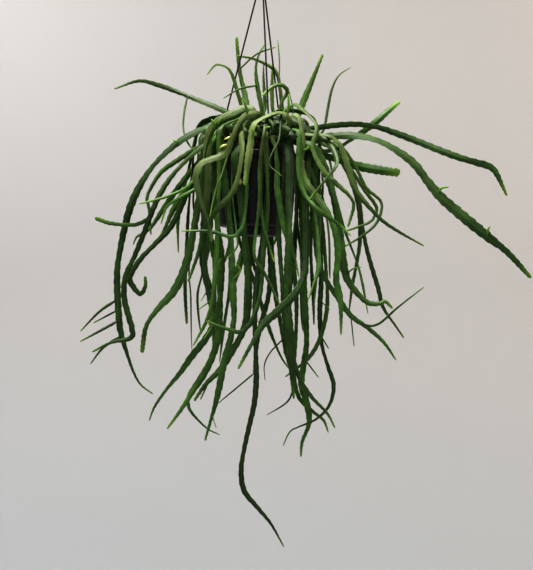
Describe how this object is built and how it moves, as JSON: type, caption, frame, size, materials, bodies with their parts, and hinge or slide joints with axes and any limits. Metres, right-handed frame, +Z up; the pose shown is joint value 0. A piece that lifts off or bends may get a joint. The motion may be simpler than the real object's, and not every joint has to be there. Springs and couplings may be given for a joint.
{
  "type": "lepismium bolivianum",
  "caption": "Trailing epiphytic cactus with long notched strap stems spilling over a black plastic hanging pot on three strands and a hook.",
  "frame": {"origin": "the saddle of the hook, where the rail bears on the underside of the hook's bow", "axes": "+Z up, along the pot's axis; -Y toward the viewer of the picture; +X to the right in the picture"},
  "size_m": [0.749, 0.2784, 0.9881],
  "materials": {
    "cactus_stem": "waxy green plant skin, semi-gloss",
    "pot_plastic": "black moulded polypropylene, satin",
    "hanger_plastic": "black moulded polypropylene, satin",
    "peat_soil": "dark moist peat with roots and perlite"
  },
  "bodies": {
    "root": {"arch_right": "cactus_stem", "back_1": "cactus_stem", "back_10": "cactus_stem", "back_2": "cactus_stem", "back_3": "cactus_stem", "back_4": "cactus_stem", "back_5": "cactus_stem", "back_6": "cactus_stem", "back_7": "cactus_stem", "back_8": "cactus_stem", "back_9": "cactus_stem", "centre_bright": "cactus_stem", "centre_green": "cactus_stem", "centre_strap": "cactus_stem", "crossing": "cactus_stem", "diagonal": "cactus_stem", "hook": "hanger_plastic", "left_arc": "cactus_stem", "left_bright": "cactus_stem", "left_front": "cactus_stem", "left_high": "cactus_stem", "left_hook": "cactus_stem", "left_inner": "cactus_stem", "longest": "cactus_stem", "low_hook": "cactus_stem", "low_left_a": "cactus_stem", "low_left_b": "cactus_stem", "low_left_c": "cactus_stem", "low_left_d": "cactus_stem", "low_left_e": "cactus_stem", "low_left_f": "cactus_stem", "low_right_a": "cactus_stem", "low_right_b": "cactus_stem", "low_right_c": "cactus_stem", "low_right_d": "cactus_stem", "olive_centre": "cactus_stem", "olive_curve": "cactus_stem", "olive_left": "cactus_stem", "pale_right": "cactus_stem", "pot": "pot_plastic", "right_fall": "cactus_stem", "right_high": "cactus_stem", "right_hook": "cactus_stem", "right_long": "cactus_stem", "right_loop": "cactus_stem", "right_low": "cactus_stem", "right_sweep": "cactus_stem", "right_up": "cactus_stem", "right_upright": "cactus_stem", "saucer": "pot_plastic", "soil": "peat_soil", "strand_1": "hanger_plastic", "strand_2": "hanger_plastic", "strand_3": "hanger_plastic", "top_arch": "cactus_stem", "top_centre": "cactus_stem", "top_tall": "cactus_stem", "top_twist": "cactus_stem"}
  },
  "joints": []
}
